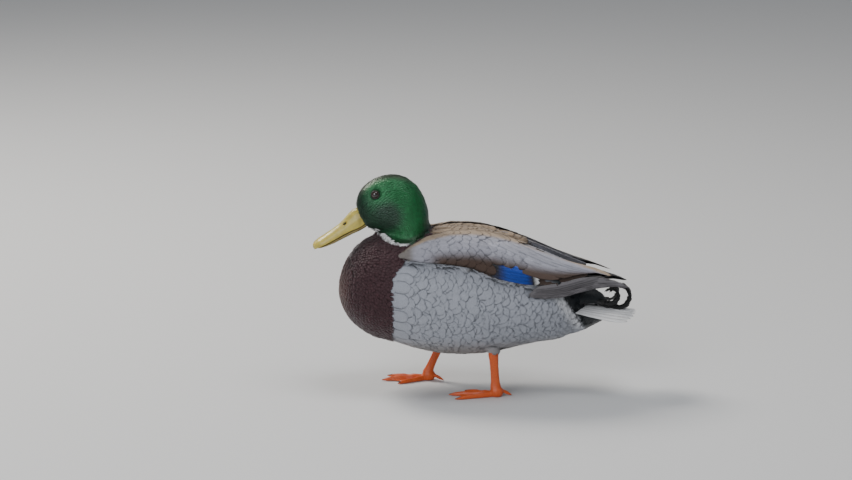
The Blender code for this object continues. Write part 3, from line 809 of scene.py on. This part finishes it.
def on_blade(table, starts, ends, sign):
    """Carries a vane to a folded blade. Each runs from (x, share) to (x, share), both in that order."""
    starts, ends = np.array(starts, float), np.array(ends, float)
    span = ends - starts
    long = np.abs(span[:, 0]) / 1000

    def carry(along, aside):
        part = along / long[:, None, None]
        x = starts[:, 0, None, None] + span[:, 0, None, None] * part
        share = starts[:, 1, None, None] + span[:, 1, None, None] * part
        rows = np.array(table, float)
        tall = np.hypot(
            np.interp(x, rows[:, 0], rows[:, 1] - rows[:, 3]),
            np.interp(x, rows[:, 0], rows[:, 2] - rows[:, 4]),
        )
        room = np.minimum(share, 1 - share)
        share = share - np.clip(aside * 1000 / np.maximum(tall, 1), -room, room)
        return blade_point(table, x, share, sign)

    return carry, long


def wing_tints(kind, spreading, seed):
    """Paints the vanes of a wing by where they lie."""
    rng = np.random.default_rng(seed)

    def paint(points, tip_share, across_share):
        x, z = points[..., 0] * 1000, points[..., 2] * 1000
        shade = np.exp(rng.normal(0, spreading, (points.shape[0], 1, 1)))
        edge = np.abs(across_share)[None, :] + 0 * x
        tip = tip_share[None, :] + 0 * x
        colour, share = wing_colour(x, z)
        if kind == "secondary":
            colour = blend((0.006, 0.006, 0.008), SPECULUM, step(23, 26, x) * step(60, 57, x))
            colour = blend(colour, WHITE, step(0.90, 0.93, tip) * step(60, 63, x))
        elif kind == "tertial":
            colour = blend(colour, colour * 1.5 + 0.02, 0.5 * step(0.75, 1.0, edge))
        elif kind == "quill":
            colour = blend(QUILL, (0.26, 0.25, 0.25), 0.8 * step(0.55, 0.9, across_share[None, :] + 0 * x))
        return np.clip(colour * shade, 0, 0.95)

    return paint


scapular_coat = plumage_material("scapular_grey", 0.64, 12, 20, 0.20, gloss=0.18, shaft=0.12, soft=0.85)
tertial_coat = plumage_material("tertial_brown", 0.55, 26, 1, 0.0, gloss=0.28, shaft=0.2, soft=0.7)
blue_coat = plumage_material("speculum_blue", 0.32, 14, 1, 0.0, gloss=0.6, sheen=0.1, metallic=0.4)
quill_coat = plumage_material("primary_brown", 0.45, 30, 1, 0.0, gloss=0.4, shaft=0.6)
LONG_TIP = ((0.06, 0.55), (0.2, 0.85), (0.4, 0.98), (0.6, 1.0), (0.75, 0.94), (0.88, 0.74), (0.96, 0.42))


def wing_row(name, table, starts, ends, widths, side, lift, kind, finish, barred, seed, spreading=0.06,
             camber=0.16, columns=5, stack=0.0):
    carry, long = on_blade(table, starts, ends, SIDES[side])
    over = stack * np.arange(len(long))
    made = grow(
        name + "_" + side, carry, long, np.array(widths) / 1000, LONG_TIP, columns,
        (lift[0] + over, lift[1] + over), wing_tints(kind, spreading, seed), np.full(len(long), barred),
        around_body, seed, camber=camber, fray=0.004,
    )
    made.data.materials.append(finish)
    return made


for side in SIDES:
    rng = np.random.default_rng(400)
    starts, ends, widths = [], [], []
    for row in range(8):
        share = 0.86 - row * 0.102
        for k in range(11):
            x = -84 + k * 11 + 5 * (row % 2) + rng.normal(0, 1)
            if x > (30 if share < 0.70 else -6):
                continue
            starts.append((x, share - 0.02))
            ends.append((x + 30 + rng.normal(0, 1.5), share + 0.05 + rng.normal(0, 0.012)))
            widths.append(15 + rng.normal(0, 0.6))
    wing_row("scapulars", WING, starts, ends, widths, side, (0.0002, 0.0014), "scapular",
             scapular_coat, 0.8, 410, spreading=0.03, camber=0.05)

    starts = [(12, 0.99 - 0.05 * k) for k in range(5)]
    ends = [(71 - 0.8 * k, 1.0 - 0.055 * k) for k in range(5)]
    wing_row("secondaries", WING, starts, ends, [10] * 5, side, (0.0001, 0.0005), "secondary",
             blue_coat, 0.0, 420, camber=0.03, stack=0.00012)

    starts = [(-6, 0.60), (4, 0.48), (12, 0.42), (20, 0.36), (30, 0.32), (40, 0.28), (50, 0.24)]
    ends = [(94, 0.84), (110, 0.78), (122, 0.70), (132, 0.62), (140, 0.56), (147, 0.52), (152, 0.50)]
    wing_row("tertials", WING, starts, ends, [12, 13, 14, 14, 12, 10, 8], side, (0.0009, 0.0013), "tertial",
             tertial_coat, 0.3, 430, spreading=0.05, columns=7, camber=0.03, stack=0.00016)

    starts = [(57, 0.90), (57, 0.72), (58, 0.58), (60, 0.46), (62, 0.34), (62, 0.24), (64, 0.14)]
    ends = [(158, 0.86), (171, 0.62), (168, 0.48), (159, 0.40), (149, 0.30), (138, 0.22), (126, 0.14)]
    quills = wing_row("primary_quills", PRIMARIES, starts, ends, [8, 9, 9, 8, 8, 7, 6], side,
                      (-0.0012, -0.0006), "quill", quill_coat, 0.0, 440, spreading=0.08,
                      camber=0.03, stack=0.00022)
    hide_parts("primaries_" + side)


# ------------------------------------------------------------------ tail
# A fan of stiff pale feathers, the middle pair on top, with grey along the shafts.
TAIL_ROOT = (0.030, 0.1098)
TAIL_SLOPE = radians(8)
TAIL_FAN = radians(15.5)      # half of the fan's spread
TAIL_REACH = 0.1534           # from the fan's centre to the tip of the solid
tail_coat = plumage_material("tail_pale", 0.55, 40, 1, 0.0, gloss=0.3, shaft=-0.25)


def on_tail(angles, lengths, heights):
    """Carries each vane out along its own line of the fan."""
    angles, lengths, heights = (np.array(v)[:, None, None] for v in (angles, lengths, heights))

    def carry(along, aside):
        reach = 0.072 + along
        x = TAIL_ROOT[0] + reach * np.cos(angles) - aside * np.sin(angles)
        y = reach * np.sin(angles) + aside * np.cos(angles)
        turn = np.arctan2(y, x - TAIL_ROOT[0]) / TAIL_FAN
        share = np.hypot(y, x - TAIL_ROOT[0]) / TAIL_REACH
        z = TAIL_ROOT[1] - np.hypot(y, x - TAIL_ROOT[0]) * sin(TAIL_SLOPE) - 0.0058 * turn**2 * share
        up = np.broadcast_to(np.array((sin(TAIL_SLOPE), 0, cos(TAIL_SLOPE))), x.shape + (3,))
        return np.stack((x, y, z + heights), -1), up

    return carry


def tail_paint(points, tip_share, across_share):
    edge = np.abs(across_share)[None, :] + 0 * points[..., 0]
    return blend((0.52, 0.51, 0.51), (0.68, 0.68, 0.69), step(0.15, 0.6, edge))


angles = [radians(a) for a in (-13.6, 13.6, -10.6, 10.6, -7.6, 7.6, -4.8, 4.8, -2.2, 2.2, 0.0)]
tail_lengths = [0.0795 * (1 - 0.12 * (a / TAIL_FAN) ** 2) - 0.0015 for a in angles]
heights = [-0.0010 + 0.00018 * k for k in range(len(angles))]
tail = grow(
    "tail_feathers", on_tail(angles, tail_lengths, heights), np.array(tail_lengths),
    np.full(len(angles), 0.0155), LONG_TIP, 7, (0.0, 0.0), tail_paint, np.zeros(len(angles)),
    around_body, 500, camber=0.06, fray=0.003, thick=0.0003,
)
tail.data.materials.append(tail_coat)
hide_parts("tail")


# ------------------------------------------------------------------ curled tail coverts
# Four black feathers of the drake, springing from above the tail and curling up and forwards.
CURLS = {"outer": (160.5, 107.0, 13.0, 3.8, 250, 24), "inner": (151.0, 109.5, 9.0, 11.0, 225, 20)}


def on_curl(curl, sign, roots, turned):
    """Carries each barb off the curl's shaft, from that far along it and to that side."""
    x, z, radius, offset, turn, run = CURLS[curl]
    round_length = radius * 0.91 * radians(turn)
    roots, turned = roots[:, None, None], turned[:, None, None]

    def carry(along, aside):
        gone = roots * (run + round_length) + along * 1000 * np.cos(turned)
        beside = aside * np.cos(turned) + along * np.sin(turned)
        curling = (gone - run) / round_length
        angle = -pi / 2 + radians(turn) * np.maximum(curling, 0)
        reach = radius * (1 - 0.18 * np.maximum(curling, 0))
        straight = np.maximum(1 - gone / run, 0)
        out = np.stack((np.cos(angle), 0 * angle, np.sin(angle)), -1)
        middle = np.stack(
            (x + reach * np.cos(angle) - run * straight, 0 * angle + sign * offset,
             z + reach * np.sin(angle) + run * straight * 0.2), -1
        ) / 1000
        lean = radians(40) * sign
        wide = np.array((0, 1.0, 0)) * cos(lean) + out * sin(lean)
        return middle + wide * beside[..., None], out

    return carry


def curl_paint(points, tip_share, across_share):
    # Painted sheen: the barbs' tips are blended halfway to brown for light glancing off the black curls.
    tip_sheen = 0.5 * step(0.7, 1.0, tip_share[None, :] + 0 * points[..., 0])
    return blend((0.008, 0.009, 0.011), (0.050, 0.030, 0.020), tip_sheen)


curl_coat = plumage_material("curl_black", 0.50, 8, 1, 0.0, gloss=0.35, sheen=0.15, soft=0.5)
BARB = ((0.08, 0.7), (0.35, 1.0), (0.7, 0.8), (0.9, 0.45))
for side, sign in SIDES.items():
    for curl in CURLS:
        rng = np.random.default_rng(530)
        count = 120
        roots = np.linspace(0.0, 0.90, count)
        turned = np.tile(np.radians((-17, 14, -7, 19, 4)), count)[:count] + rng.normal(0, 0.08, count)
        lengths = (0.0100 - 0.0040 * roots**2) * np.exp(rng.normal(0, 0.08, count))
        plume = grow(
            f"curl_{curl}_plume_{side}", on_curl(curl, sign, roots, turned), lengths, np.full(count, 0.0034),
            BARB, 3, (0.0, rng.normal(0.0002, 0.0003, count)), curl_paint, np.zeros(count), around_body, 520,
            camber=0.08, fray=0.02, thick=0.0002,
        )
        plume.data.materials.append(curl_coat)
        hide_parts(f"curl_{curl}_{side}")


# ------------------------------------------------------------------ bill
# Horn with a thin soft skin, in two halves that meet in a curved line.
def fine_copy(name, nodes, voxel, smoothing):
    """The solids as one fine smooth casting, in their place."""
    made = joined_copy(name, nodes)
    apply_modifier(made, "REMESH", mode="VOXEL", voxel_size=voxel)
    apply_modifier(made, "SMOOTH", factor=0.5, iterations=smoothing)
    activate(made)
    bpy.ops.object.shade_smooth()
    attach(made, "root")
    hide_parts(*nodes)
    return made


def horn_material(name, colour, dark, roughness, scale, bump_depth):
    made = bpy.data.materials.new(name)
    made.use_nodes = True
    tree = made.node_tree
    shader = tree.nodes["Principled BSDF"]
    shader.inputs["Roughness"].default_value = roughness
    shader.inputs["Specular IOR Level"].default_value = 0.5
    shader.inputs["Subsurface Weight"].default_value = 0.08
    shader.inputs["Subsurface Scale"].default_value = 0.004
    place = tree.nodes.new("ShaderNodeTexCoord")
    patches = tree.nodes.new("ShaderNodeTexNoise")
    patches.inputs["Scale"].default_value = scale
    patches.inputs["Detail"].default_value = 6
    link(tree, place.outputs["Object"], patches.inputs["Vector"])
    ramp = tree.nodes.new("ShaderNodeValToRGB")
    ramp.color_ramp.elements[0].position = 0.3
    ramp.color_ramp.elements[0].color = (*dark, 1)
    ramp.color_ramp.elements[1].position = 0.62
    ramp.color_ramp.elements[1].color = (*colour, 1)
    link(tree, patches.outputs["Fac"], ramp.inputs["Fac"])
    link(tree, ramp.outputs["Color"], shader.inputs["Base Color"])
    bump = tree.nodes.new("ShaderNodeBump")
    bump.inputs["Strength"].default_value = 0.3
    bump.inputs["Distance"].default_value = bump_depth
    link(tree, patches.outputs["Fac"], bump.inputs["Height"])
    link(tree, bump.outputs["Normal"], shader.inputs["Normal"])
    return made


bill_top = fine_copy("bill_top", ["bill_upper"], 0.00045, 26)
bill_top.data.materials.append(
    horn_material("bill_horn", (0.50, 0.40, 0.075), (0.36, 0.29, 0.06), 0.36, 160, 0.0002)
)
# Painted shade: the lower half's horn is about half as bright as the upper half's, for the shade under the
# bill.
bill_under = fine_copy("bill_under", ["bill_lower"], 0.00045, 26)
bill_under.data.materials.append(
    horn_material("bill_horn_low_shaded", (0.26, 0.20, 0.05), (0.16, 0.12, 0.04), 0.42, 160, 0.0002)
)
DROOP = radians(31.5)         # how far the bill points below the horizontal
BILL_BASE = (-0.131, 0.1944)  # x and z of the middle of its root
for side, sign in SIDES.items():
    along, aside, up = 0.0155, 0.0062, 0.0050
    place = (
        BILL_BASE[0] - along * cos(DROOP) - up * sin(DROOP),
        sign * aside,
        BILL_BASE[1] - along * sin(DROOP) + up * cos(DROOP),
    )
    # Painted shade: each nostril is a small near-black egg set just inside its pit, for the shade in the
    # opening.
    bpy.ops.object.select_all(action="DESELECT")
    bpy.ops.mesh.primitive_uv_sphere_add(
        segments=24, ring_count=12, radius=0.001, location=place, rotation=(0, -DROOP, 0)
    )
    nostril = bpy.context.active_object
    nostril.name = "nostril_" + side
    nostril.scale = (2.1, 1.2, 0.85)
    bpy.ops.object.transform_apply(location=True, rotation=True, scale=True)
    bpy.ops.object.shade_smooth()
    nostril.data.materials.append(
        horn_material("nostril_shade_" + side, (0.020, 0.015, 0.008), (0.008, 0.006, 0.004), 0.7, 900, 0.0001)
    )
    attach(nostril, "root")


# ------------------------------------------------------------------ eyes
# Dark brown, glossy, set in a thin ring of bare lid among the face feathers.
EYE_BALL = 0.0047   # radius
IRIS_REACH = 0.0045  # from the pupil's middle to the iris's outer edge
LID_RING = 0.0043   # radius of the lid's ring
LID_THICK = 0.0006  # radius of the lid itself
for side, sign in SIDES.items():
    centre = EYES[side]
    bpy.ops.object.select_all(action="DESELECT")
    bpy.ops.mesh.primitive_uv_sphere_add(segments=48, ring_count=32, radius=EYE_BALL, location=centre)
    eye = bpy.context.active_object
    eye.name = "eye_ball_" + side
    bpy.ops.object.transform_apply(location=True, rotation=True, scale=True)
    bpy.ops.object.shade_smooth()
    gloss = bpy.data.materials.new("eye_gloss_" + side)
    gloss.use_nodes = True
    shader = gloss.node_tree.nodes["Principled BSDF"]
    shader.inputs["Roughness"].default_value = 0.08
    shader.inputs["Coat Weight"].default_value = 0.8
    shader.inputs["Coat Roughness"].default_value = 0.03
    tree = gloss.node_tree
    place = tree.nodes.new("ShaderNodeTexCoord")
    reach = tree.nodes.new("ShaderNodeVectorMath")
    reach.operation = "DISTANCE"
    reach.inputs[1].default_value = centre + Vector((0, sign * EYE_BALL, 0))
    link(tree, place.outputs["Object"], reach.inputs[0])
    iris = tree.nodes.new("ShaderNodeValToRGB")
    iris.color_ramp.elements[0].position = 0.50
    iris.color_ramp.elements[0].color = (0.002, 0.002, 0.002, 1)
    iris.color_ramp.elements[1].position = 0.56
    iris.color_ramp.elements[1].color = (0.030, 0.012, 0.006, 1)
    scale = tree.nodes.new("ShaderNodeMath")
    scale.operation = "MULTIPLY"
    scale.inputs[1].default_value = 1 / IRIS_REACH
    link(tree, reach.outputs["Value"], scale.inputs[0])
    link(tree, scale.outputs[0], iris.inputs["Fac"])
    link(tree, iris.outputs["Color"], shader.inputs["Base Color"])
    eye.data.materials.append(gloss)
    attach(eye, "root")
    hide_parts("eye_" + side)

    bpy.ops.object.select_all(action="DESELECT")
    bpy.ops.mesh.primitive_torus_add(
        major_segments=48, minor_segments=10, major_radius=LID_RING, minor_radius=LID_THICK,
        location=centre + Vector((0, sign * 0.0026, 0)), rotation=(pi / 2, 0, 0),
    )
    lid = bpy.context.active_object
    lid.name = "eyelid_" + side
    bpy.ops.object.transform_apply(location=True, rotation=True, scale=True)
    bpy.ops.object.shade_smooth()
    lid.data.materials.append(
        horn_material("lid_" + side, (0.018, 0.022, 0.018), (0.008, 0.010, 0.009), 0.5, 900, 0.0001)
    )
    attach(lid, "root")


# ------------------------------------------------------------------ legs
# Scaly orange tarsi and webbed feet, one casting a side, with small dark claws.
for side in SIDES:
    leg = fine_copy("leg_skin_" + side, ["tarsus_" + side, "foot_" + side], 0.0006, 4)
    leg.data.materials.append(
        horn_material("leg_scales_" + side, (0.60, 0.098, 0.014), (0.50, 0.068, 0.012), 0.45, 700, 0.0004)
    )

CLAW_LENGTH, CLAW_ROOT = 0.0062, 0.0013
CLAW_HEIGHT = 1.75            # in millimetres, as are all the places of the toes below
FOOT_SPREAD = 38
TOE_END = 3.5                 # the claw's middle stands this far inside the toe's tip
KNOBS = {"left": (22, 4), "right": (-54, 6)}  # x of the toes' knob, degrees the foot turns inwards
for side, sign in SIDES.items():
    knob_x, turn = KNOBS[side][0], radians(KNOBS[side][1])
    for toe, angle, length in (("inner", -27, 41.0), ("middle", 0, 53.0), ("outer", 24, 49.0)):
        along = (length - TOE_END) * cos(radians(angle))
        across = (length - TOE_END) * sin(radians(angle))
        ahead = along * cos(turn) + across * sin(turn)
        out = across * cos(turn) - along * sin(turn)
        place = Vector((knob_x - ahead, sign * (FOOT_SPREAD + out), CLAW_HEIGHT)) / 1000
        way = Vector((-cos(radians(angle) - turn), sign * sin(radians(angle) - turn), -0.09)).normalized()
        bpy.ops.object.select_all(action="DESELECT")
        bpy.ops.mesh.primitive_cone_add(
            vertices=20, radius1=CLAW_ROOT, radius2=0.0002, depth=CLAW_LENGTH, location=place,
            rotation=way.to_track_quat("Z", "Y").to_euler(),
        )
        claw = bpy.context.active_object
        claw.name = f"claw_{toe}_{side}"
        bpy.ops.object.transform_apply(location=True, rotation=True, scale=True)
        apply_modifier(claw, "BEVEL", width=0.0004, segments=2)
        bpy.ops.object.shade_smooth()
        dark_horn, darkest_horn = (0.040, 0.024, 0.016), (0.020, 0.013, 0.010)
        claw.data.materials.append(
            horn_material(f"claw_horn_{toe}_{side}", dark_horn, darkest_horn, 0.35, 900, 0.0001)
        )
        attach(claw, "root")


low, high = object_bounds()
